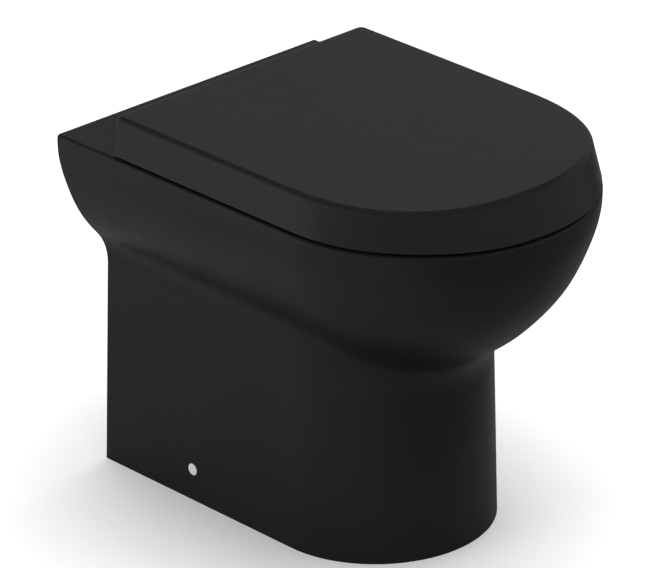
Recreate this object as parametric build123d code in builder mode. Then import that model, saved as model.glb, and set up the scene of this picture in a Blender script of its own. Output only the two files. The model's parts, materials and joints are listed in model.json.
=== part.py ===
from build123d import *
import os
from math import cos, radians, sin, tan

# A back-to-wall toilet: a skirted pan that stands on the floor against a wall, with a seat ring
# and a wrap-over cover on one soft-close hinge line. Millimetres. X runs across the pan, +Y points
# to the wall and -Y to the user, +Z is up. The origin is on the floor, at the middle of the pan.
# "left" is the -X side.

# ---- overall sizes of the pan ----
pan_width = 376.0
pan_length = 536.0
pan_height = 400.0
casting_wall = 12.0
rim_edge_round = 4.0
overcut = 1.0

# ---- outside of the bowl: a curved flank, run straight back and turned round the front ----
# each flank point is (in from the side, down from the top)
rim_band = 8.0
flank_points = ((9.0, 53.0), (31.2, 101.5), (55.1, 132.4), (73.0, 150.5), (128.0, 189.0))
flank_wall_fall = 0.7
bowl_belly_drop = 203.0

# ---- pedestal ----
foot_width = 257.0
foot_setback = 122.0
foot_nose = 124.0
side_draft = 1.8
nose_draft = 1.4
pedestal_drop = 100.0
skirt_hollow_drop = 138.0
neck_round_share = 0.95

# ---- inside of the bowl ----
# each basin point is (share of the channel's radius, down from the top)
rim_width = 50.0
lip_thickness = 10.0
lip_depth = 38.0
lip_round = 4.0
channel_width = 17.0
basin_back_share = 0.748
basin_points = ((0.982, 34.0), (0.897, 70.0), (0.679, 138.0), (0.533, 162.0), (0.291, 184.0))
basin_floor_drop = 197.0
basin_wall = 11.0
basin_wall_fall = 0.6
well_share = -0.078
well_top_radius = 52.0
well_bottom_radius = 40.0
well_top_drop = 164.0
well_bottom_drop = 300.0
well_round = 14.0

# ---- trapway: points on its centre line, as shares of the pan's length and height ----
trap_points = ((-0.100, 0.3625), (0.014, 0.125), (0.152, 0.600), (0.285, 0.455))
trap_bend = 42.0
trap_bore = 60.0
trap_wall = 9.0

# ---- outlet spigot ----
spigot_diameter = 102.0
spigot_bore = 82.0
spigot_length = 48.0
spigot_setback = 55.0
spigot_cone = 15.0
spigot_taper = 38.0

# ---- flush inlet ----
inlet_drop = 60.0
inlet_bore = 55.0
inlet_wall = 11.0
inlet_setback = 60.0
inlet_stop = 13.0
duct_width = 44.0
duct_height = 26.0
distributor_width = 68.0
inlet_web = 14.0

# ---- seat fixings through the deck ----
fixing_spacing = 155.0
fixing_from_bowl = 15.072
deck_hole = 15.0
stud_diameter = 8.0
stud_below_deck = 34.0
stud_chamfer = 1.0
plug_diameter = 10.0
plug_height = 20.0
plug_socket_relief = 0.5
gasket_diameter = 27.0
gasket_thickness = 1.5
plate_diameter = 28.0
plate_thickness = 2.5
plate_round = 0.75
grommet_flange = 28.0
grommet_flange_thickness = 3.0
washer_diameter = 24.0
washer_thickness = 1.5
wing_hub_diameter = 17.0
wing_nut_height = 12.0
wing_span = 42.0
wing_thickness = 4.0
wing_droop = 6.0
wing_tip = 3.6
wing_root = 9.6
wing_hub_taper = 6.0
grub_diameter = 5.0

# ---- hinge line ----
axis_height = 31.0
axis_from_cover_rear = 12.0
knuckle_radius = 8.0
post_diameter = 22.0
post_top_gap = 1.5
post_barrel_width = 24.0
post_top_round = 2.0
arm_top = 7.5
arm_bottom = -5.0
ear_width = 18.0
ear_side_gap = 1.0
axle_diameter = 7.0
axle_end_gap = 4.0
axle_chamfer = 0.8
cartridge_diameter = 10.0
cartridge_head = 13.0
cartridge_head_thickness = 1.5
cartridge_head_round = 0.8
cartridge_end_wall = 3.0
bush_chamfer = 0.4
running_gap = 0.05
plain_gap = 0.1

# ---- cover: it stands back from the pan's edge and leans in towards its top ----
# a nose of fullness 0.707 is a half circle, and a higher one is squarer
cover_bottom_gap = 3.2
cover_height = 40.3
cover_side_gap = 1.5
cover_side_lean = 8.5
cover_bottom_front = 0.5
cover_top_front = 25.5
cover_bottom_fullness = 0.707
cover_top_fullness = 0.745
cover_rear_from_fixing = 40.5
cover_wall = 4.0
cover_rear_wall = 3.0
cover_plate = 3.5
cover_corner = 9.0
cover_edge_round = 6.0
notch_inner_gap = 1.5
notch_outer_gap = 3.5
notch_depth = 7.5
cover_ear_root = 10.0

# ---- seat ring ----
ring_bottom_gap = 6.0
ring_thickness = 24.0
ring_side_gap = 15.0
ring_front = 24.0
ring_fullness = 0.734
ring_rear_from_axis = 30.5
ring_corner = 12.0
ring_side_band = 61.0
ring_front_band = 58.0
ring_rear_band = 52.0
ring_wall = 6.0
ring_skin = 8.0
ring_outer_round = 7.0
ring_inner_round = 10.0
post_slot_gap = 2.0
rib_thickness = 3.0
rib_turns = (20, 55, 90, 125, 160)
ring_ear_step = 2.0
ring_ear_toe = 4.0

# ---- buffers ----
buffer_diameter = 18.0
buffer_peg = 6.0
buffer_peg_length = 8.0
buffer_peg_relief = 0.5
buffer_round = 1.5
buffer_pad = 24.0
rest_gap = 0.3
buffer_turn = 34.0
seat_buffer_from_rear = 106.0
cover_buffer_diameter = 12.0
cover_buffer_pad = 18.0
cover_buffer_pad_height = 3.0
cover_buffer_inset = 6.0
cover_buffer_from_rear = 76.0

# ---- side fixings to the floor ----
side_screw_setback = 136.0
side_screw_height = 35.0
side_recess = 14.5
side_recess_depth = 8.0
side_screw_hole = 8.5
side_screw_diameter = 6.0
side_screw_length = 36.0
side_head_diameter = 10.5
side_head_height = 3.2
side_hex_depth = 1.92
side_washer_diameter = 13.0
side_washer_thickness = 1.0
cap_diameter = 13.5
cap_face = 2.0
cap_wall = 1.1
cap_sink = 0.6
cap_round = 0.6
bracket_length = 60.0
bracket_depth = 42.0
bracket_height = 58.0
bracket_thickness = 5.0
bracket_boss = 18.0
bracket_boss_length = 18.0
bracket_corner = 5.0
bracket_rib_height = 34.8
bracket_gap = 0.3
floor_hole = 8.0
floor_hole_pitch = 36.0

# ---- places worked out from the sizes above ----
wall_y = pan_length / 2
front_y = -pan_length / 2
rim_radius = pan_width / 2
rim_centre_y = front_y + rim_radius
nose_centre_y = front_y + foot_setback + foot_nose
pedestal_rise = pan_height - pedestal_drop
skirt_hollow_rise = pan_height - skirt_hollow_drop
neck_round = neck_round_share * (rim_radius - foot_width / 2)
opening_radius = rim_radius - rim_width
lip_radius = opening_radius + lip_thickness
channel_radius = lip_radius + channel_width
basin_back_y = front_y + basin_back_share * pan_length
basin_rear_y = basin_back_y - channel_radius
opening_straight = basin_rear_y - rim_centre_y
deck_underside = pan_height - casting_wall
well_y = well_share * pan_length
well_top_z = pan_height - well_top_drop
well_bottom_z = pan_height - well_bottom_drop
fixing_x = fixing_spacing / 2
fixing_y = basin_back_y + fixing_from_bowl
cover_rear_y = fixing_y + cover_rear_from_fixing
axis_y = cover_rear_y - axis_from_cover_rear
axis_z = pan_height + axis_height
cover_bottom_z = pan_height + cover_bottom_gap
cover_top_z = cover_bottom_z + cover_height
cover_underside = cover_top_z - cover_plate
cover_bottom_width = pan_width - 2 * cover_side_gap
cover_top_width = cover_bottom_width - 2 * cover_side_lean
cover_peg_length = cover_buffer_pad_height - 2 * plain_gap
ring_bottom_z = pan_height + ring_bottom_gap
ring_top_z = ring_bottom_z + ring_thickness
ring_ear_top_z = ring_top_z - ring_outer_round / 2
ring_width = pan_width - 2 * ring_side_gap
ring_rear_y = axis_y - ring_rear_from_axis
ring_nose_y = front_y + ring_front
ring_centre_y = ring_nose_y + ring_width / 2
hole_width = ring_width - 2 * ring_side_band
hole_front_y = ring_nose_y + ring_front_band
hole_rear_y = ring_rear_y - ring_rear_band
hole_straight = hole_rear_y - hole_front_y - hole_width
hole_middle_y = (hole_front_y + hole_rear_y) / 2
plate_bottom_z = pan_height + gasket_thickness
plate_top_z = plate_bottom_z + plate_thickness
post_top_z = cover_underside - post_top_gap
barrel_inner_x = fixing_x - post_barrel_width / 2
barrel_outer_x = fixing_x + post_barrel_width / 2
ring_ear_outer_x = barrel_inner_x - ear_side_gap
ring_ear_inner_x = ring_ear_outer_x - ear_width
cover_ear_inner_x = barrel_outer_x + ear_side_gap
cover_ear_outer_x = cover_ear_inner_x + ear_width
inlet_mouth_y = wall_y - inlet_setback
inlet_height = pan_height - inlet_drop
inlet_depth = inlet_mouth_y - basin_back_y - inlet_stop
spigot_end_y = wall_y - spigot_setback
outlet_height = trap_points[-1][1] * pan_height
trap_radius = trap_bore / 2
trap_outer_radius = trap_radius + trap_wall

os.makedirs("parts", exist_ok=True)


def side_plane(x, y=0, z=0, facing=1):
    """A plane square to X, with its own Y up."""
    return Plane(origin=(x, y, z), x_dir=(0, facing, 0), z_dir=(facing, 0, 0))


def front_plane(x, y, z):
    """A plane that faces the user, with its own Y up."""
    return Plane(origin=(x, y, z), x_dir=(1, 0, 0), z_dir=(0, -1, 0))


def flank_face(inset):
    """Half section of the bowl's outside, from its middle plane to its flank, set in by inset."""
    side = rim_radius - inset
    top = pan_height - inset
    points = [(side - x, pan_height - z + inset * flank_wall_fall) for x, z in flank_points]
    belly = pan_height - bowl_belly_drop + inset
    with BuildSketch() as face:
        with BuildLine():
            Line((0, top), (side, top))
            Line((side, top), (side, pan_height - rim_band - inset))
            start = (side, pan_height - rim_band - inset)
            Spline(start, *points, (0, belly), tangents=((0, -1), (-1, 0)))
            Line((0, belly), (0, top))
        make_face()
    return face.sketch


def pedestal_plan(height, inset, rear_y):
    """Plan of the pedestal at a height, set in by inset: straight sides and a half-round nose."""
    half_width = foot_width / 2 - inset - height * tan(radians(side_draft))
    nose = foot_nose - inset - height * tan(radians(nose_draft))
    with BuildSketch() as plan:
        with BuildLine():
            Line((half_width, nose_centre_y), (half_width, rear_y))
            Line((half_width, rear_y), (-half_width, rear_y))
            Line((-half_width, rear_y), (-half_width, nose_centre_y))
            EllipticalCenterArc((0, nose_centre_y), half_width, nose, start_angle=180, arc_size=180)
        make_face()
    return plan.sketch


def basin_face(thickness):
    """Half section of the bowl's inside, out from its middle, grown by thickness."""
    fall = pan_height - basin_wall_fall * thickness
    points = [(share * channel_radius + thickness, fall - z) for share, z in basin_points]
    floor = pan_height - basin_floor_drop - thickness
    side = channel_radius + thickness
    with BuildSketch() as face:
        with BuildLine():
            Line((0, deck_underside), (side, deck_underside))
            Line((side, deck_underside), (side, deck_underside - rim_band))
            start = (side, deck_underside - rim_band)
            Spline(start, *points, (0, floor), tangents=((0, -1), (-1, 0)))
            Line((0, floor), (0, deck_underside))
        make_face()
    return face.sketch


def oval_plan(radius):
    """Plan of the rim opening: two half circles joined by short straights."""
    with BuildSketch() as plan:
        with Locations((0, (rim_centre_y + basin_rear_y) / 2)):
            SlotCenterToCenter(opening_straight, 2 * radius, rotation=90)
    return plan.sketch


def basin_solid(thickness):
    """The bowl's inside as a solid: its half section turned round both ends and run between."""
    with BuildPart() as basin:
        with BuildSketch(Plane.XZ.offset(-basin_rear_y)):
            add(basin_face(thickness))
            mirror(about=Plane.YZ)
        extrude(amount=opening_straight)
        for y, turn in ((rim_centre_y, -180), (basin_rear_y, 180)):
            with BuildSketch(Plane.XZ.offset(-y)):
                add(basin_face(thickness))
            revolve(axis=Axis((0, y, 0), (0, 0, 1)), revolution_arc=turn)
        with BuildSketch(Plane.XY.offset(well_top_z)):
            with Locations((0, well_y)):
                Circle(well_top_radius + thickness)
        with BuildSketch(Plane.XY.offset(well_bottom_z - thickness)):
            with Locations((0, well_y)):
                Circle(well_bottom_radius + thickness)
        loft()
        mouth = [
            edge
            for edge in basin.edges()
            if edge.bounding_box().min.Z > (well_bottom_z + well_top_z) / 2
            and edge.bounding_box().max.Z < well_top_z - 1
        ]
        fillet(mouth, well_round)
    return basin.part


def trap_line():
    """Centre line of the trapway: down from the well, up over the weir and out to the wall."""
    points = [(0, y * pan_length, z * pan_height) for y, z in trap_points]
    outlet = (0, spigot_end_y, outlet_height)
    with BuildLine() as line:
        FilletPolyline(*points, outlet, radius=trap_bend)
    return line.line


def trap_solid(radius):
    """A round bar along the trapway's centre line."""
    path = trap_line()
    with BuildPart() as bar:
        with BuildSketch(Plane(origin=path @ 0, z_dir=path % 0)):
            Circle(radius)
        sweep(path=path)
    return bar.part


# ---- pan: one casting with the rim, flushing channel, basin, trapway, spigot and inlet ----

with BuildPart() as outside:
    with BuildSketch(Plane.XZ.offset(-wall_y)):
        add(flank_face(0))
        mirror(about=Plane.YZ)
    extrude(amount=wall_y - rim_centre_y)
    with BuildSketch(Plane.XZ.offset(-rim_centre_y)):
        add(flank_face(0))
    revolve(axis=Axis((0, rim_centre_y, 0), (0, 0, 1)), revolution_arc=-180)
    for height in (0, pedestal_rise):
        with BuildSketch(Plane.XY.offset(height)):
            add(pedestal_plan(height, 0, wall_y))
    loft(ruled=True)
    belly_z = pan_height - bowl_belly_drop
    meeting = outside.edges().filter_by_position(Axis.Z, belly_z, pedestal_rise)
    fillet([edge for edge in meeting if edge.center().Y < wall_y - 1], neck_round)
    top_edges = outside.faces().sort_by(Axis.Z)[-1].edges()
    fillet([edge for edge in top_edges if edge.center().Y < wall_y - 1], rim_edge_round)

with BuildPart() as hollow:
    # the space inside the skirt, open to the floor and to the wall
    for height in (-overcut, skirt_hollow_rise):
        with BuildSketch(Plane.XY.offset(height)):
            add(pedestal_plan(height, casting_wall, wall_y + overcut))
    loft(ruled=True)
    # the space behind the bowl, under the deck
    with BuildSketch(Plane.XZ.offset(-wall_y - overcut)):
        add(flank_face(casting_wall))
        mirror(about=Plane.YZ)
    extrude(amount=wall_y + overcut - (basin_rear_y + channel_radius / 3))

with BuildPart() as lip:
    with BuildSketch(Plane.XY.offset(pan_height - casting_wall / 2)):
        add(oval_plan(lip_radius))
        add(oval_plan(opening_radius), mode=Mode.SUBTRACT)
    extrude(amount=casting_wall / 2 - lip_depth)
    fillet(lip.faces().sort_by(Axis.Z)[0].edges(), lip_round)

with BuildPart() as pan:
    add(outside.part)
    add(hollow.part, mode=Mode.SUBTRACT)
    add(basin_solid(basin_wall))
    add(trap_solid(trap_outer_radius))
    with BuildSketch(Plane.XZ.offset(-spigot_end_y)):
        with Locations((0, outlet_height)):
            Circle(spigot_diameter / 2)
    extrude(amount=spigot_length)
    with BuildSketch(Plane.XZ.offset(spigot_length - spigot_end_y)):
        with Locations((0, outlet_height)):
            Circle(spigot_diameter / 2)
    extrude(amount=spigot_cone, taper=spigot_taper)
    inlet_radius = inlet_bore / 2 + inlet_wall
    with BuildSketch(Plane.XZ.offset(-inlet_mouth_y)):
        with Locations((0, inlet_height)):
            Circle(inlet_radius)
        with Locations((0, (inlet_height + deck_underside) / 2)):
            Rectangle(inlet_web, deck_underside - inlet_height)
    extrude(amount=inlet_mouth_y - basin_back_y)
    distributor_front_y = inlet_mouth_y - inlet_depth - casting_wall / 2
    with BuildSketch(Plane.XZ.offset(-basin_back_y)):
        with Locations((0, (inlet_height + deck_underside) / 2)):
            Rectangle(distributor_width, deck_underside - inlet_height)
    extrude(amount=-(distributor_front_y + 2 * casting_wall - basin_back_y))
    add(outside.part, mode=Mode.INTERSECT)
    # waterways
    add(basin_solid(0), mode=Mode.SUBTRACT)
    add(trap_solid(trap_radius), mode=Mode.SUBTRACT)
    with BuildSketch(Plane.XZ.offset(-spigot_end_y)):
        with Locations((0, outlet_height)):
            Circle(spigot_bore / 2)
    extrude(amount=spigot_length, mode=Mode.SUBTRACT)
    with BuildSketch(Plane.XZ.offset(spigot_length - spigot_end_y)):
        with Locations((0, outlet_height)):
            Circle(spigot_bore / 2)
    extrude(amount=spigot_cone - overcut, taper=spigot_taper, mode=Mode.SUBTRACT)
    with BuildSketch(Plane.XZ.offset(-inlet_mouth_y)):
        with Locations((0, inlet_height)):
            Circle(inlet_bore / 2)
    extrude(amount=inlet_depth, mode=Mode.SUBTRACT)
    with BuildSketch(Plane.XZ.offset(-distributor_front_y - casting_wall)):
        with Locations((0, deck_underside - duct_height / 2)):
            Rectangle(duct_width, duct_height)
    extrude(amount=distributor_front_y + 2 * casting_wall - basin_back_y, mode=Mode.SUBTRACT)
    # rim opening and the lip that hangs in front of the flushing channel
    with BuildSketch(Plane.XY.offset(pan_height)):
        add(oval_plan(opening_radius))
    extrude(amount=-2 * casting_wall, mode=Mode.SUBTRACT)
    add(lip.part)
    top_face = pan.faces().filter_by(Plane.XY).sort_by(Axis.Z)[-1]
    fillet(top_face.inner_wires()[0].edges(), rim_edge_round)
    # holes for the seat fixings and the side screws
    with Locations(*[(side * fixing_x, fixing_y, pan_height) for side in (-1, 1)]):
        Hole(deck_hole / 2, depth=2 * casting_wall)
    screw_y = wall_y - side_screw_setback
    skirt_face_x = foot_width / 2 - side_screw_height * tan(radians(side_draft))
    for side in (-1, 1):
        with Locations(side_plane(side * skirt_face_x, screw_y, side_screw_height, side)):
            CounterBoreHole(side_screw_hole / 2, side_recess / 2, side_recess_depth, depth=2 * casting_wall)


# ---- seat fixings: what stands on the deck and what hangs below it ----

fixing_places = [(side * fixing_x, fixing_y) for side in (-1, 1)]


def discs(diameter, bore, bottom, thickness):
    """A round washer at each of the two seat fixings."""
    with BuildPart() as pair:
        with BuildSketch(Plane.XY.offset(bottom)):
            with Locations(*fixing_places):
                Circle(diameter / 2)
                Circle(bore / 2, mode=Mode.SUBTRACT)
        extrude(amount=thickness)
    return pair.part


stud_bore = stud_diameter + 2 * plain_gap
grommet_bottom_z = deck_underside - grommet_flange_thickness
washer_bottom_z = grommet_bottom_z - washer_thickness
nut_bottom_z = washer_bottom_z - wing_nut_height
nut_bore = stud_diameter + 2 * running_gap

with BuildPart() as hinge_gaskets:
    add(discs(gasket_diameter, stud_bore, pan_height, gasket_thickness))

with BuildPart() as hinge_plates:
    add(discs(plate_diameter, stud_bore, plate_bottom_z, plate_thickness))
    fillet(hinge_plates.faces().sort_by(Axis.Z)[-2:].edges().filter_by(
        lambda edge: edge.radius > plug_diameter), plate_round)

with BuildPart() as stud_grommets:
    add(discs(grommet_flange, stud_bore, grommet_bottom_z, grommet_flange_thickness))
    add(discs(deck_hole - 2 * plain_gap, stud_bore, deck_underside, casting_wall - plain_gap))

with BuildPart() as stud_washers:
    add(discs(washer_diameter, stud_bore, washer_bottom_z, washer_thickness))

with BuildPart() as wing_nuts:
    with BuildSketch(Plane.XY.offset(nut_bottom_z)):
        with Locations(*fixing_places):
            Circle(wing_hub_diameter / 2)
    extrude(amount=wing_nut_height, taper=wing_hub_taper)
    for x, y in fixing_places:
        with BuildSketch(front_plane(x, y, nut_bottom_z)):
            for side in (-1, 1):
                with BuildLine():
                    Polyline(
                        (0, 0),
                        (side * wing_hub_diameter / 2, 0),
                        (side * wing_span / 2, -wing_droop),
                        (side * wing_span / 2, wing_tip),
                        (side * wing_hub_diameter / 2, wing_root),
                        (0, wing_root),
                        close=True,
                    )
                make_face()
        extrude(amount=wing_thickness / 2, both=True)
    with Locations(*[(x, y, nut_bottom_z + wing_nut_height) for x, y in fixing_places]):
        Hole(nut_bore / 2, depth=2 * wing_nut_height)

with BuildPart() as hinge_studs:
    with BuildSketch(Plane.XY.offset(deck_underside - stud_below_deck)):
        with Locations(*fixing_places):
            Circle(stud_diameter / 2)
    extrude(amount=plate_top_z + overcut - (deck_underside - stud_below_deck))
    with BuildSketch(Plane.XY.offset(plate_top_z)):
        with Locations(*fixing_places):
            Circle(plug_diameter / 2)
    extrude(amount=plug_height)
    chamfer(hinge_studs.faces().sort_by(Axis.Z)[-2:].edges(), stud_chamfer)
    chamfer(hinge_studs.faces().sort_by(Axis.Z)[:2].edges(), stud_chamfer)


# ---- hinge posts: a column over the stud and an arm back to the hinge line ----

def hinge_post(x):
    """One post, with its arm, its barrel on the hinge line, the stud's socket and the grub hole."""
    with BuildPart() as post:
        with BuildSketch(Plane.XY.offset(plate_top_z)):
            with Locations((x, fixing_y)):
                Circle(post_diameter / 2)
        extrude(amount=post_top_z - plate_top_z)
        fillet(post.edges().sort_by(Axis.Z)[-1], post_top_round)
        with BuildSketch(side_plane(x)):
            with Locations((axis_y, axis_z)):
                Circle(knuckle_radius)
            with BuildLine():
                Polyline(
                    (fixing_y, axis_z + arm_bottom),
                    (axis_y, axis_z + arm_bottom),
                    (axis_y, axis_z + arm_top),
                    (fixing_y, axis_z + arm_top),
                    close=True,
                )
            make_face()
        extrude(amount=post_barrel_width / 2, both=True)
        with BuildSketch(Plane.XY.offset(plate_top_z)):
            with Locations((x, fixing_y)):
                Circle(plug_diameter / 2 + running_gap)
        extrude(amount=plug_height + plug_socket_relief, mode=Mode.SUBTRACT)
        with BuildSketch(side_plane(x)):
            with Locations((axis_y, axis_z)):
                Circle(axle_diameter / 2 + running_gap)
        extrude(amount=post_barrel_width, both=True, mode=Mode.SUBTRACT)
        with BuildSketch(front_plane(x, fixing_y, grub_z)):
            Circle(grub_diameter / 2 + running_gap)
        extrude(amount=post_diameter, mode=Mode.SUBTRACT)
    return post.part


grub_z = plate_top_z + plug_height / 2

with BuildPart() as hinge_post_left:
    add(hinge_post(-fixing_x))

with BuildPart() as hinge_post_right:
    add(hinge_post(fixing_x))

with BuildPart() as grub_screws:
    grub_length = (post_diameter - plug_diameter) / 2 - 1
    for x, y in fixing_places:
        plane = front_plane(x, y - plug_diameter / 2 - running_gap, grub_z)
        with BuildSketch(plane):
            Circle(grub_diameter / 2)
        extrude(amount=grub_length)
        with BuildSketch(plane.offset(grub_length)):
            RegularPolygon(grub_diameter / 4, 6)
        extrude(amount=-grub_length / 2, mode=Mode.SUBTRACT)


# ---- hinge line: two axles, and a damper and a plain bush for each moving part ----

def on_axis(x_start, x_end, radius, bore=0):
    """A round bar or tube on the hinge line between two X positions, given in either order."""
    with BuildPart() as bar:
        with BuildSketch(side_plane(min(x_start, x_end), axis_y, axis_z)):
            Circle(radius)
            if bore:
                Circle(bore, mode=Mode.SUBTRACT)
        extrude(amount=abs(x_end - x_start))
    return bar.part


axle_bore = axle_diameter / 2 + running_gap
ear_bore = cartridge_diameter / 2 + running_gap
axle_inner_x = ring_ear_inner_x + axle_end_gap
axle_outer_x = cover_ear_outer_x - axle_end_gap

with BuildPart() as hinge_axles:
    add(on_axis(axle_inner_x, axle_outer_x, axle_diameter / 2))
    add(on_axis(-axle_outer_x, -axle_inner_x, axle_diameter / 2))
    chamfer(hinge_axles.edges().filter_by(GeomType.CIRCLE), axle_chamfer)


def bush(x_low, x_high):
    """A plain bush that fills an ear's bore."""
    with BuildPart() as tube:
        add(on_axis(x_low, x_high, cartridge_diameter / 2, axle_bore))
        chamfer(tube.edges().filter_by(GeomType.CIRCLE), bush_chamfer)
    return tube.part


def damper(x_inner, x_outer):
    """A soft-close cartridge: a body in the ear's bore and a capped head outside the ear."""
    step = 1 if x_outer > x_inner else -1
    head_end = x_outer + step * cartridge_head_thickness
    with BuildPart() as cartridge:
        add(on_axis(x_inner, x_outer, cartridge_diameter / 2))
        add(on_axis(x_outer, head_end, cartridge_head / 2))
        head_edges = cartridge.edges().filter_by(GeomType.CIRCLE).sort_by(Axis.X)
        fillet(head_edges[-1 if step > 0 else 0], cartridge_head_round)
        add(on_axis(x_inner, x_outer - cartridge_end_wall * step, axle_bore), mode=Mode.SUBTRACT)
    return cartridge.part


with BuildPart() as seat_damper:
    add(damper(-ring_ear_outer_x, -ring_ear_inner_x))

with BuildPart() as seat_bush:
    add(bush(ring_ear_inner_x, ring_ear_outer_x))

with BuildPart() as cover_damper:
    add(damper(cover_ear_inner_x, cover_ear_outer_x))

with BuildPart() as cover_bush:
    add(bush(-cover_ear_outer_x, -cover_ear_inner_x))


# ---- places of the buffers, along the middle of the ring's band ----

band_radius = (ring_width - ring_side_band) / 2
cover_band_radius = band_radius - cover_buffer_inset
turn_x = cos(radians(buffer_turn))
turn_y = sin(radians(buffer_turn))
seat_buffer_places = (
    (band_radius, ring_rear_y - seat_buffer_from_rear),
    (band_radius * turn_x, ring_centre_y - band_radius * turn_y),
)
cover_buffer_places = (
    (cover_band_radius, ring_rear_y - cover_buffer_from_rear),
    (cover_band_radius * turn_x, ring_centre_y - cover_band_radius * turn_y),
)


# ---- cover ----

def d_plan(half_width, rear_y, corner, nose_y, fullness):
    """Plan of the seat or cover: square back with rounded corners, and a full rounded nose."""
    side_end = nose_y + half_width
    shoulder = (fullness * half_width, side_end - fullness * half_width)
    with BuildSketch() as plan:
        with BuildLine():
            Line((half_width, side_end), (half_width, rear_y - corner))
            RadiusArc((half_width, rear_y - corner), (half_width - corner, rear_y), -corner)
            Line((half_width - corner, rear_y), (0, rear_y))
            Spline(
                (half_width, side_end), shoulder, (0, nose_y),
                tangents=((0, -1), (-1, 0)),
            )
            mirror(about=Plane.YZ)
        make_face()
    return plan.sketch


def cover_level(height, inset):
    """Plan of the cover at a height above its bottom edge, set in by inset all round."""
    share = height / cover_height

    def between(low, high):
        return low + (high - low) * share

    half_width = between(cover_bottom_width, cover_top_width) / 2 - inset
    nose_y = front_y + between(cover_bottom_front, cover_top_front) + inset
    rear_y = cover_rear_y - inset * cover_rear_wall / cover_wall
    fullness = between(cover_bottom_fullness, cover_top_fullness)
    return d_plan(half_width, rear_y, cover_corner - inset, nose_y, fullness)


with BuildPart() as seat_cover:
    for height in (0, cover_height):
        with BuildSketch(Plane.XY.offset(cover_bottom_z + height)):
            add(cover_level(height, 0))
    loft(ruled=True)
    fillet(seat_cover.faces().sort_by(Axis.Z)[-1].edges(), cover_edge_round)
    for height in (-overcut, cover_height - cover_plate):
        with BuildSketch(Plane.XY.offset(cover_bottom_z + height)):
            add(cover_level(height, cover_wall))
    loft(ruled=True, mode=Mode.SUBTRACT)
    # ears on the hinge line
    for side in (-1, 1):
        with BuildSketch(side_plane(side * cover_ear_inner_x, axis_y, axis_z, side)):
            Circle(knuckle_radius)
            with Locations((0, cover_ear_root / 2)):
                Rectangle(2 * knuckle_radius, cover_ear_root)
        extrude(amount=ear_width)
    # buffer pads under the plate
    with BuildSketch(Plane.XY.offset(cover_underside - cover_buffer_pad_height)):
        with Locations(*[(side * x, y) for x, y in cover_buffer_places for side in (-1, 1)]):
            Circle(cover_buffer_pad / 2)
    extrude(amount=cover_buffer_pad_height + overcut)
    with BuildSketch(Plane.XY.offset(cover_underside - cover_buffer_pad_height)):
        with Locations(*[(side * x, y) for x, y in cover_buffer_places for side in (-1, 1)]):
            Circle(buffer_peg / 2 + plain_gap)
    extrude(amount=cover_peg_length + plain_gap, mode=Mode.SUBTRACT)
    # gaps in the rear skirt for the posts and the ring's ears
    notch_inner_x = ring_ear_inner_x - notch_inner_gap
    notch_outer_x = barrel_outer_x + notch_outer_gap
    notch_x = (notch_inner_x + notch_outer_x) / 2
    with BuildSketch(Plane.XY.offset(cover_bottom_z - overcut)):
        with Locations((-notch_x, cover_rear_y), (notch_x, cover_rear_y)):
            Rectangle(notch_outer_x - notch_inner_x, notch_depth)
    extrude(amount=cover_underside - cover_bottom_z + overcut, mode=Mode.SUBTRACT)
    for side in (-1, 1):
        ear_hole = on_axis(side * cover_ear_inner_x, side * cover_ear_outer_x, ear_bore)
        add(ear_hole, mode=Mode.SUBTRACT)


# ---- seat ring ----

def ring_outline(inset):
    """Outer plan of the ring, set in by inset."""
    half_width = ring_width / 2 - inset
    return d_plan(half_width, ring_rear_y - inset, ring_corner - inset, ring_nose_y + inset, ring_fullness)


def ring_hole(growth):
    """Plan of the opening in the ring, grown by growth."""
    with BuildSketch() as plan:
        with Locations((0, hole_middle_y)):
            SlotCenterToCenter(hole_straight, hole_width + 2 * growth, rotation=90)
    return plan.sketch


slot_radius = post_diameter / 2 + post_slot_gap

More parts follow.
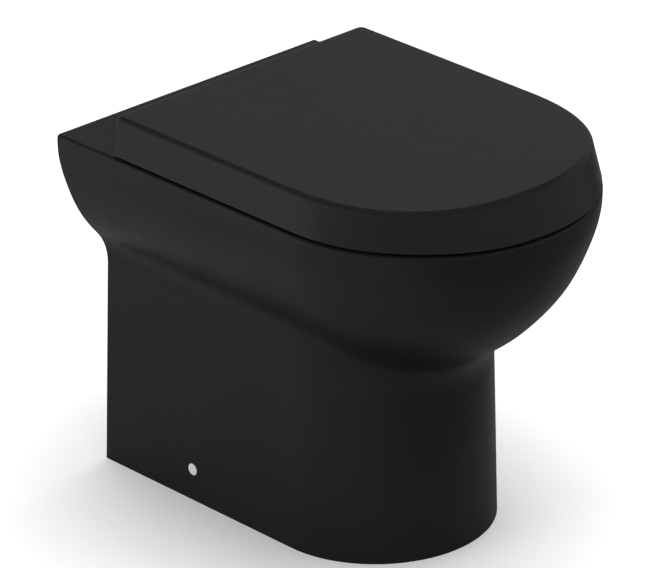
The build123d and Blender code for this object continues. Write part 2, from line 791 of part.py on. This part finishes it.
with BuildPart() as seat_ring:
    with BuildSketch(Plane.XY.offset(ring_bottom_z)):
        add(ring_outline(0))
    extrude(amount=ring_thickness)
    fillet(seat_ring.faces().sort_by(Axis.Z)[-1].edges(), ring_outer_round)
    with BuildSketch(Plane.XY.offset(ring_bottom_z)):
        add(ring_hole(0))
    extrude(amount=ring_thickness, mode=Mode.SUBTRACT)
    fillet(seat_ring.faces().sort_by(Axis.Z)[-1].inner_wires()[0].edges(), ring_inner_round)
    # slots that leave the posts room
    with BuildSketch(Plane.XY.offset(ring_bottom_z)):
        for x, y in fixing_places:
            with Locations((x, y)):
                Circle(slot_radius)
            with Locations((x, y + post_diameter)):
                Rectangle(2 * slot_radius, 2 * post_diameter)
    extrude(amount=ring_thickness, mode=Mode.SUBTRACT)
    # moulding hollow underneath, with a wall left round the edges and the slots
    with BuildSketch(Plane.XY.offset(ring_bottom_z)) as underside:
        add(ring_outline(ring_wall))
        add(ring_hole(ring_wall), mode=Mode.SUBTRACT)
        for x, y in fixing_places:
            with Locations((x, y)):
                Circle(slot_radius + ring_wall, mode=Mode.SUBTRACT)
            with Locations((x, y + post_diameter)):
                Rectangle(2 * (slot_radius + ring_wall), 2 * post_diameter, mode=Mode.SUBTRACT)
        # ribs across the hollow, and pads for the buffers
        with Locations((0, hole_middle_y)):
            for turn in rib_turns:
                Rectangle(2 * ring_width, rib_thickness, rotation=turn + 90, mode=Mode.SUBTRACT)
        for x, y in seat_buffer_places:
            with Locations((-x, y), (x, y)):
                Circle(buffer_pad / 2, mode=Mode.SUBTRACT)
    extrude(amount=ring_thickness - ring_skin, mode=Mode.SUBTRACT)
    # ears on the hinge line
    for side in (-1, 1):
        with BuildSketch(side_plane(side * ring_ear_inner_x, axis_y, axis_z, side)):
            Circle(knuckle_radius)
            with BuildLine():
                Polyline(
                    (0, ring_top_z - ring_ear_step - axis_z),
                    (0, -knuckle_radius),
                    (-side * (knuckle_radius + ring_ear_toe), ring_bottom_z - axis_z),
                    (-side * (ring_rear_from_axis + ring_wall), ring_bottom_z - axis_z),
                    (-side * (ring_rear_from_axis + ring_wall), ring_ear_top_z - axis_z),
                    (-side * (ring_rear_from_axis - ring_ear_step), ring_ear_top_z - axis_z),
                    close=True,
                )
            make_face()
        extrude(amount=ear_width)
        ear_hole = on_axis(side * ring_ear_inner_x, side * ring_ear_outer_x, ear_bore)
        add(ear_hole, mode=Mode.SUBTRACT)
    # sockets for the buffers' pegs
    with BuildSketch(Plane.XY.offset(ring_bottom_z)):
        with Locations(*[(side * x, y) for x, y in seat_buffer_places for side in (-1, 1)]):
            Circle(buffer_peg / 2 + plain_gap)
    extrude(amount=buffer_peg_length + buffer_peg_relief, mode=Mode.SUBTRACT)


# ---- buffers ----

def buffers(places, diameter, rest_z, body_z, peg_length):
    """Soft buffers: round feet that end at rest_z, with a peg into the moulding above body_z."""
    with BuildPart() as feet:
        with BuildSketch(Plane.XY.offset(rest_z)):
            with Locations(*[(side * x, y) for x, y in places for side in (-1, 1)]):
                Circle(diameter / 2)
        extrude(amount=body_z - rest_z)
        fillet(feet.faces().filter_by(Axis.Z).sort_by(Axis.Z)[:4].edges(), buffer_round)
        with BuildSketch(Plane.XY.offset(body_z)):
            with Locations(*[(side * x, y) for x, y in places for side in (-1, 1)]):
                Circle(buffer_peg / 2)
        extrude(amount=peg_length)
    return feet.part


seat_rest_z = pan_height + rest_gap
cover_rest_z = ring_top_z + rest_gap
pad_bottom_z = cover_underside - cover_buffer_pad_height

with BuildPart() as seat_buffers:
    add(buffers(seat_buffer_places, buffer_diameter, seat_rest_z, ring_bottom_z, buffer_peg_length))

with BuildPart() as cover_buffers:
    add(buffers(cover_buffer_places, cover_buffer_diameter, cover_rest_z, pad_bottom_z, cover_peg_length))


# ---- side fixings: a floor bracket inside the skirt, held by a screw through it ----

recess_floor_x = skirt_face_x - side_recess_depth
skirt_inner_x = foot_width / 2 - casting_wall - bracket_height * tan(radians(side_draft))
bracket_face_x = skirt_inner_x - bracket_gap


def floor_bracket(side):
    """An angle that stands on the floor against the skirt, with a boss for the side screw."""
    back_x = side * bracket_face_x
    front_x = side * (bracket_face_x - bracket_thickness)
    toe_x = side * (bracket_face_x - bracket_depth)
    with BuildPart() as bracket:
        with BuildSketch(front_plane(0, screw_y + bracket_length / 2, 0)):
            with BuildLine():
                Polyline(
                    (back_x, 0),
                    (back_x, bracket_height),
                    (front_x, bracket_height),
                    (front_x, bracket_thickness),
                    (toe_x, bracket_thickness),
                    (toe_x, 0),
                    close=True,
                )
            make_face()
        extrude(amount=bracket_length)
        fillet(bracket.edges().filter_by(Axis.X).group_by(Axis.Z)[-1], bracket_corner)
        fillet(bracket.edges().filter_by(Axis.Z).group_by(Axis.X)[0 if side > 0 else -1], bracket_corner)
        with BuildSketch(side_plane(side * bracket_face_x, screw_y, side_screw_height, -side)):
            Circle(bracket_boss / 2)
        extrude(amount=bracket_thickness + bracket_boss_length)
        for y in (-1, 1):
            with BuildSketch(front_plane(0, screw_y + y * (bracket_length / 2 - bracket_thickness), 0)):
                with BuildLine():
                    Polyline(
                        (front_x, bracket_thickness),
                        (toe_x + side * bracket_thickness, bracket_thickness),
                        (front_x, bracket_rib_height),
                        close=True,
                    )
                make_face()
            extrude(amount=rib_thickness / 2, both=True)
        with BuildSketch(side_plane(side * bracket_face_x, screw_y, side_screw_height, -side)):
            Circle(side_screw_diameter / 2 + plain_gap)
        extrude(amount=2 * bracket_depth, mode=Mode.SUBTRACT)
        floor_x = side * (bracket_face_x - bracket_depth + floor_hole)
        with Locations(*[(floor_x, screw_y + y * floor_hole_pitch / 2, bracket_thickness) for y in (-1, 1)]):
            Hole(floor_hole / 2, depth=2 * bracket_thickness)
    return bracket.part


with BuildPart() as floor_bracket_left:
    add(floor_bracket(-1))

with BuildPart() as floor_bracket_right:
    add(floor_bracket(1))

washer_face_x = recess_floor_x + side_washer_thickness
head_face_x = washer_face_x + side_head_height

with BuildPart() as side_washers:
    for side in (-1, 1):
        with BuildSketch(side_plane(side * recess_floor_x, screw_y, side_screw_height, side)):
            Circle(side_washer_diameter / 2)
            Circle(side_screw_diameter / 2 + plain_gap, mode=Mode.SUBTRACT)
        extrude(amount=side_washer_thickness)

with BuildPart() as side_screws:
    for side in (-1, 1):
        with BuildSketch(side_plane(side * washer_face_x, screw_y, side_screw_height, side)):
            Circle(side_head_diameter / 2)
        extrude(amount=side_head_height)
        with BuildSketch(side_plane(side * head_face_x, screw_y, side_screw_height, side)):
            RegularPolygon(side_screw_diameter / 3, 6)
        extrude(amount=-side_hex_depth, mode=Mode.SUBTRACT)
        with BuildSketch(side_plane(side * washer_face_x, screw_y, side_screw_height, -side)):
            Circle(side_screw_diameter / 2)
        extrude(amount=side_screw_length)

with BuildPart() as side_caps:
    for side in (-1, 1):
        cap_plane = side_plane(side * (skirt_face_x - cap_sink), screw_y, side_screw_height, -side)
        with BuildSketch(cap_plane):
            Circle(cap_diameter / 2)
        extrude(amount=skirt_face_x - cap_sink - washer_face_x - plain_gap)
        with BuildSketch(cap_plane.offset(cap_face)):
            Circle(cap_diameter / 2 - cap_wall)
        extrude(amount=side_recess_depth, mode=Mode.SUBTRACT)
    outer_edges = side_caps.edges().filter_by(GeomType.CIRCLE).sort_by(Axis.X)
    fillet([outer_edges[0], outer_edges[-1]], cap_round)


# ---- one file for each piece ----

pieces = {
    "pan": pan,
    "hinge_gaskets": hinge_gaskets,
    "hinge_plates": hinge_plates,
    "hinge_studs": hinge_studs,
    "stud_grommets": stud_grommets,
    "stud_washers": stud_washers,
    "wing_nuts": wing_nuts,
    "hinge_post_left": hinge_post_left,
    "hinge_post_right": hinge_post_right,
    "grub_screws": grub_screws,
    "hinge_axles": hinge_axles,
    "seat_ring": seat_ring,
    "seat_damper": seat_damper,
    "seat_bush": seat_bush,
    "seat_buffers": seat_buffers,
    "seat_cover": seat_cover,
    "cover_damper": cover_damper,
    "cover_bush": cover_bush,
    "cover_buffers": cover_buffers,
    "floor_bracket_left": floor_bracket_left,
    "floor_bracket_right": floor_bracket_right,
    "side_washers": side_washers,
    "side_screws": side_screws,
    "side_caps": side_caps,
}
for name, piece in pieces.items():
    piece.part.label = name
    export_step(piece.part, f"parts/{name}.step")
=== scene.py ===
import json
import math

import bpy
from mathutils import Matrix, Vector

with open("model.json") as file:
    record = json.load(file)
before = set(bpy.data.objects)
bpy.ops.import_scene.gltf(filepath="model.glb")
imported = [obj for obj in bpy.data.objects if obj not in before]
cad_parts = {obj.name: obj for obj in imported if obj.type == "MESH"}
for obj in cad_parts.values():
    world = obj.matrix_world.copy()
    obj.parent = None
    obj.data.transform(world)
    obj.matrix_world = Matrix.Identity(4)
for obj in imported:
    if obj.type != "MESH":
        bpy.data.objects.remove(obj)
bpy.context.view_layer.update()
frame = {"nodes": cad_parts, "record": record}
nodes = frame["nodes"]
scene = bpy.context.scene

# ---- levels of the studio, where 1 is white ----

# a graded level is a list of pairs: a place along a direction, from -1 to 1, and a grey there
FLOOR_SIZE = 40.0
FLOOR_SEEN = 0.92
FLOOR_BOUNCE = 0.15
# painted shade and light: the floor's colour in reflections is graded by place, dark towards the
# front-right and lighter towards the back-left, so the object's front reflects dark
FLOOR_REFLECTED_PAINTED_GRADE = ((-0.9, 0.25), (-0.62, 0.16), (-0.35, 0.198), (0.0, 0.195), (0.6, 0.08))
FLOOR_GRADE_DIRECTION = (0.45, -0.89, 0.0)
SKY_SEEN = 1.0
SKY_LIGHT = 0.74
SKY_REFLECTED = ((0.46, 0.215), (0.62, 0.0))
SKY_GRADE_DIRECTION = (0.0, 0.0, 1.0)
LAMP_TARGET = (0.0, 0.0, 0.22)

# ---- camera: it looks at the aim from an azimuth, an elevation and a distance ----

AZIMUTH = math.radians(-44.13)
ELEVATION = math.radians(25.144)
DISTANCE = 5.526
AIM = Vector((0.0, 0.008, 0.220))
AIM_RIGHT = -0.02495
AIM_UP = 0.030475
SENSOR_WIDTH = 36.0
LENS_PER_SENSOR_WIDTH = 5260.2 / 671.0
CLIP_END = 60.0


# ---- materials ----

class Shader:
    """A material's node tree with one Principled shader, built up a node at a time."""

    def __init__(self, name, roughness, **sockets):
        self.material = bpy.data.materials.new(name)
        self.material.use_nodes = True
        tree = self.material.node_tree
        self.nodes, self.links = tree.nodes, tree.links
        self.nodes.clear()
        self.output = self.nodes.new("ShaderNodeOutputMaterial")
        self.main = self.nodes.new("ShaderNodeBsdfPrincipled")
        self.links.new(self.main.outputs["BSDF"], self.output.inputs["Surface"])
        self.main.inputs["Roughness"].default_value = roughness
        for socket, value in sockets.items():
            self.main.inputs[socket.replace("_", " ")].default_value = value
        self.place = self.nodes.new("ShaderNodeTexCoord").outputs["Object"]

    def noise(self, scale, detail=3.0, stretch=None, roughness=0.5):
        node = self.nodes.new("ShaderNodeTexNoise")
        node.inputs["Scale"].default_value = scale
        node.inputs["Detail"].default_value = detail
        node.inputs["Roughness"].default_value = roughness
        place = self.place
        if stretch:
            mapping = self.nodes.new("ShaderNodeMapping")
            mapping.inputs["Scale"].default_value = stretch
            self.links.new(place, mapping.inputs["Vector"])
            place = mapping.outputs["Vector"]
        self.links.new(place, node.inputs["Vector"])
        return node.outputs["Fac"]

    def spread(self, value, low, high, from_low=0.3, from_high=0.7):
        node = self.nodes.new("ShaderNodeMapRange")
        node.inputs["From Min"].default_value = from_low
        node.inputs["From Max"].default_value = from_high
        node.inputs["To Min"].default_value = low
        node.inputs["To Max"].default_value = high
        self.links.new(value, node.inputs["Value"])
        return node.outputs["Result"]

    def tones(self, value, dark, light):
        node = self.nodes.new("ShaderNodeValToRGB")
        node.color_ramp.elements[0].position = 0.32
        node.color_ramp.elements[0].color = (*dark, 1.0)
        node.color_ramp.elements[1].position = 0.68
        node.color_ramp.elements[1].color = (*light, 1.0)
        self.links.new(value, node.inputs["Fac"])
        return node.outputs["Color"]

    def colour(self, socket):
        self.links.new(socket, self.main.inputs["Base Color"])

    def roughness(self, socket):
        self.links.new(socket, self.main.inputs["Roughness"])

    def bump(self, height, distance, strength=1.0):
        """Another layer of bump on top of what is there."""
        node = self.nodes.new("ShaderNodeBump")
        node.inputs["Distance"].default_value = distance
        node.inputs["Strength"].default_value = strength
        self.links.new(height, node.inputs["Height"])
        normal = self.main.inputs["Normal"]
        if normal.is_linked:
            self.links.new(normal.links[0].from_socket, node.inputs["Normal"])
        self.links.new(node.outputs["Normal"], normal)


def ceramic_glaze():
    """Satin black glaze: near even, with a slow wave from the firing and a very fine grain."""
    look = Shader("black_glaze", 0.36, Specular_IOR_Level=0.5)
    wave = look.noise(9.0, 2.0)
    grain = look.noise(900.0, 2.0)
    look.colour(look.tones(wave, (0.0080, 0.0080, 0.0083), (0.0098, 0.0098, 0.0101)))
    look.roughness(look.spread(look.noise(38.0, 4.0), 0.33, 0.39))
    look.bump(wave, 0.0006, 0.25)
    look.bump(grain, 0.00002, 0.35)
    return look.material


def moulded_seat():
    """Satin black thermoset of the ring and cover: smoother than the glaze, with faint flow."""
    look = Shader("black_seat_plastic", 0.32, Specular_IOR_Level=0.5)
    flow = look.noise(6.0, 3.0, stretch=(1.0, 0.35, 1.0))
    look.colour(look.tones(flow, (0.0088, 0.0088, 0.0091), (0.0104, 0.0104, 0.0107)))
    look.roughness(look.spread(look.noise(60.0, 4.0), 0.29, 0.34))
    look.bump(look.noise(1400.0, 2.0), 0.00002, 0.3)
    return look.material


def rubber(name, dark, light, roughness):
    """A matt rubber with a fine grain."""
    look = Shader(name, roughness, Specular_IOR_Level=0.35)
    look.colour(look.tones(look.noise(240.0, 5.0), dark, light))
    look.roughness(look.spread(look.noise(500.0, 3.0), roughness - 0.06, roughness + 0.08))
    look.bump(look.noise(2200.0, 4.0), 0.00005, 0.5)
    return look.material


def metal(name, dark, light, roughness, stretch, brushed):
    """A bare or plated metal: drawn lines along one direction, or polished if not brushed."""
    look = Shader(name, roughness, Metallic=1.0)
    lines = look.noise(700.0, 4.0, stretch=stretch)
    look.colour(look.tones(look.noise(45.0, 4.0), dark, light))
    if brushed:
        look.roughness(look.spread(lines, roughness - brushed, roughness + brushed))
    look.bump(lines, 0.00002, 0.3)
    return look.material


def plastic(name, dark, light, roughness, grain):
    """A moulded plastic with a fine eroded grain and slight cloudiness."""
    look = Shader(name, roughness, Specular_IOR_Level=0.45)
    look.colour(look.tones(look.noise(70.0, 4.0), dark, light))
    look.roughness(look.spread(look.noise(260.0, 3.0), roughness - 0.04, roughness + 0.06))
    look.bump(look.noise(grain, 3.0), 0.00004, 0.4)
    return look.material


looks = {
    "glaze": ceramic_glaze(),
    "seat_plastic": moulded_seat(),
    "post_metal": metal(
        "bright_chrome", (0.60, 0.61, 0.62), (0.70, 0.71, 0.72), 0.0, (1, 1, 1), 0.0),
    "steel": metal(
        "plated_steel", (0.36, 0.36, 0.37), (0.50, 0.50, 0.51), 0.34, (1, 1, 0.04), 0.09),
    "axle_steel": metal(
        "ground_steel", (0.42, 0.42, 0.43), (0.54, 0.54, 0.55), 0.24, (0.04, 1, 1), 0.07),
    "rubber_black": rubber(
        "black_rubber", (0.010, 0.010, 0.010), (0.018, 0.018, 0.018), 0.72),
    "buffer_rubber": rubber(
        "grey_buffer_rubber", (0.030, 0.030, 0.031), (0.046, 0.046, 0.047), 0.62),
    "damper_plastic": plastic(
        "dark_damper_plastic", (0.020, 0.020, 0.022), (0.030, 0.030, 0.032), 0.48, 1600.0),
    "bush_plastic": plastic(
        "acetal", (0.40, 0.40, 0.37), (0.50, 0.50, 0.47), 0.40, 1500.0),
    "nylon": plastic(
        "natural_nylon", (0.58, 0.57, 0.53), (0.68, 0.67, 0.63), 0.45, 1200.0),
    "bracket_plastic": plastic(
        "glass_filled_nylon", (0.42, 0.42, 0.40), (0.56, 0.56, 0.54), 0.58, 650.0),
    "cap_white": plastic(
        "white_cap_plastic", (0.74, 0.74, 0.73), (0.80, 0.80, 0.79), 0.32, 1800.0),
}

for part in frame["record"]["subparts"]:
    node = nodes[part["node"]]
    for material_slot in node.material_slots:
        material_slot.material = looks[part["material_slot"]]


# ---- floor, world and lights ----

def by_ray(tree, shaders):
    """One shader for light that scatters, one for satin reflections, one for what is seen
    directly, through glass or in a mirror-bright surface."""
    path = tree.nodes.new("ShaderNodeLightPath")
    direct = path.outputs["Is Camera Ray"]
    for ray in ("Is Transmission Ray", "Is Singular Ray"):
        either = tree.nodes.new("ShaderNodeMath")
        either.operation = "MAXIMUM"
        tree.links.new(direct, either.inputs[0])
        tree.links.new(path.outputs[ray], either.inputs[1])
        direct = either.outputs["Value"]
    scattered, reflected, seen = shaders
    indirect = tree.nodes.new("ShaderNodeMixShader")
    tree.links.new(path.outputs["Is Glossy Ray"], indirect.inputs["Fac"])
    tree.links.new(scattered, indirect.inputs[1])
    tree.links.new(reflected, indirect.inputs[2])
    mix = tree.nodes.new("ShaderNodeMixShader")
    tree.links.new(direct, mix.inputs["Fac"])
    tree.links.new(indirect.outputs["Shader"], mix.inputs[1])
    tree.links.new(seen, mix.inputs[2])
    return mix.outputs["Shader"]


def graded(tree, coordinate, direction, levels):
    """A grey that changes along a direction: pairs of a place on it, from -1 to 1, and a level."""
    along = tree.nodes.new("ShaderNodeVectorMath")
    along.operation = "DOT_PRODUCT"
    along.inputs[1].default_value = direction
    tree.links.new(tree.nodes.new("ShaderNodeTexCoord").outputs[coordinate], along.inputs[0])
    place = tree.nodes.new("ShaderNodeMapRange")
    place.inputs["From Min"].default_value = -1.0
    tree.links.new(along.outputs["Value"], place.inputs["Value"])
    ramp = tree.nodes.new("ShaderNodeValToRGB")
    ramp.color_ramp.interpolation = "EASE"
    stops = ramp.color_ramp.elements
    while len(stops) < len(levels):
        stops.new(0.5)
    for stop, (where, level) in zip(stops, levels):
        stop.position = (where + 1.0) / 2.0
        stop.color = (level, level, level, 1.0)
    tree.links.new(place.outputs["Result"], ramp.inputs["Fac"])
    return ramp.outputs["Color"]


def floor_material():
    """Pale and plain where it is seen, and dimmer in the light it throws up; in reflections its
    colour is painted shade and light, graded by place, dark towards the front-right and lighter
    towards the back-left.
    """
    material = bpy.data.materials.new("studio_floor")
    material.use_nodes = True
    tree = material.node_tree
    tree.nodes.clear()
    output = tree.nodes.new("ShaderNodeOutputMaterial")
    scattered, reflected, seen = (tree.nodes.new("ShaderNodeBsdfDiffuse") for _ in range(3))
    scattered.inputs["Color"].default_value = (FLOOR_BOUNCE, FLOOR_BOUNCE, FLOOR_BOUNCE, 1.0)
    # painted shade and light in reflections: the reflected colour is graded by place, not lit that
    # way
    tree.links.new(graded(tree, "Object", FLOOR_GRADE_DIRECTION, FLOOR_REFLECTED_PAINTED_GRADE),
                   reflected.inputs["Color"])
    seen.inputs["Color"].default_value = (FLOOR_SEEN, FLOOR_SEEN, FLOOR_SEEN, 1.0)
    shaders = [shader.outputs["BSDF"] for shader in (scattered, reflected, seen)]
    tree.links.new(by_ray(tree, shaders), output.inputs["Surface"])
    return material


def studio_world():
    """A white sky where it is seen, plain light from it, and a dimmer one in reflections."""
    world = bpy.data.worlds.new("studio")
    world.use_nodes = True
    tree = world.node_tree
    tree.nodes.clear()
    output = tree.nodes.new("ShaderNodeOutputWorld")
    scattered, reflected, seen = (tree.nodes.new("ShaderNodeBackground") for _ in range(3))
    scattered.inputs["Color"].default_value = (1.0, 1.0, 1.0, 1.0)
    scattered.inputs["Strength"].default_value = SKY_LIGHT
    tree.links.new(graded(tree, "Generated", SKY_GRADE_DIRECTION, SKY_REFLECTED),
                   reflected.inputs["Color"])
    seen.inputs["Color"].default_value = (1.0, 1.0, 1.0, 1.0)
    seen.inputs["Strength"].default_value = SKY_SEEN
    shaders = [shader.outputs["Background"] for shader in (scattered, reflected, seen)]
    tree.links.new(by_ray(tree, shaders), output.inputs["Surface"])
    return world


bpy.ops.mesh.primitive_plane_add(size=FLOOR_SIZE, location=(0.0, 0.0, 0.0))
floor = bpy.context.object
floor.name = "floor"
floor.data.materials.append(floor_material())

scene.world = studio_world()


def softbox(name, place, size, watts, in_reflections):
    """A rectangular area light that points at the object's middle."""
    data = bpy.data.lights.new(name, "AREA")
    data.shape = "RECTANGLE"
    data.size, data.size_y = size
    data.energy = watts
    light = bpy.data.objects.new(name, data)
    scene.collection.objects.link(light)
    light.location = place
    towards_object = Vector(LAMP_TARGET) - Vector(place)
    light.rotation_euler = towards_object.to_track_quat("-Z", "Y").to_euler()
    light.visible_glossy = in_reflections


softbox("key_top", (0.5, -0.2, 3.1), (3.0, 3.0), 82.0, in_reflections=False)
softbox("left_fill", (-3.2, 0.9, 0.9), (2.0, 1.4), 33.0, in_reflections=False)
softbox("left_card", (-2.7, 2.4, 0.5), (2.2, 1.0), 3.1, in_reflections=True)


# ---- camera ----

def place_camera():
    towards = Vector((
        -math.sin(AZIMUTH) * math.cos(ELEVATION),
        math.cos(AZIMUTH) * math.cos(ELEVATION),
        -math.sin(ELEVATION),
    ))
    right = Vector((math.cos(AZIMUTH), math.sin(AZIMUTH), 0.0))
    up = right.cross(towards)
    aim = AIM + (right * AIM_RIGHT + up * AIM_UP)
    data = bpy.data.cameras.new("camera")
    data.sensor_width = SENSOR_WIDTH
    data.lens = SENSOR_WIDTH * LENS_PER_SENSOR_WIDTH
    data.clip_end = CLIP_END
    camera = bpy.data.objects.new("camera", data)
    scene.collection.objects.link(camera)
    turn = Matrix((right, up, -towards)).transposed().to_4x4()
    camera.matrix_world = Matrix.Translation(aim - towards * DISTANCE) @ turn
    scene.camera = camera


place_camera()
scene.view_settings.view_transform = "Standard"
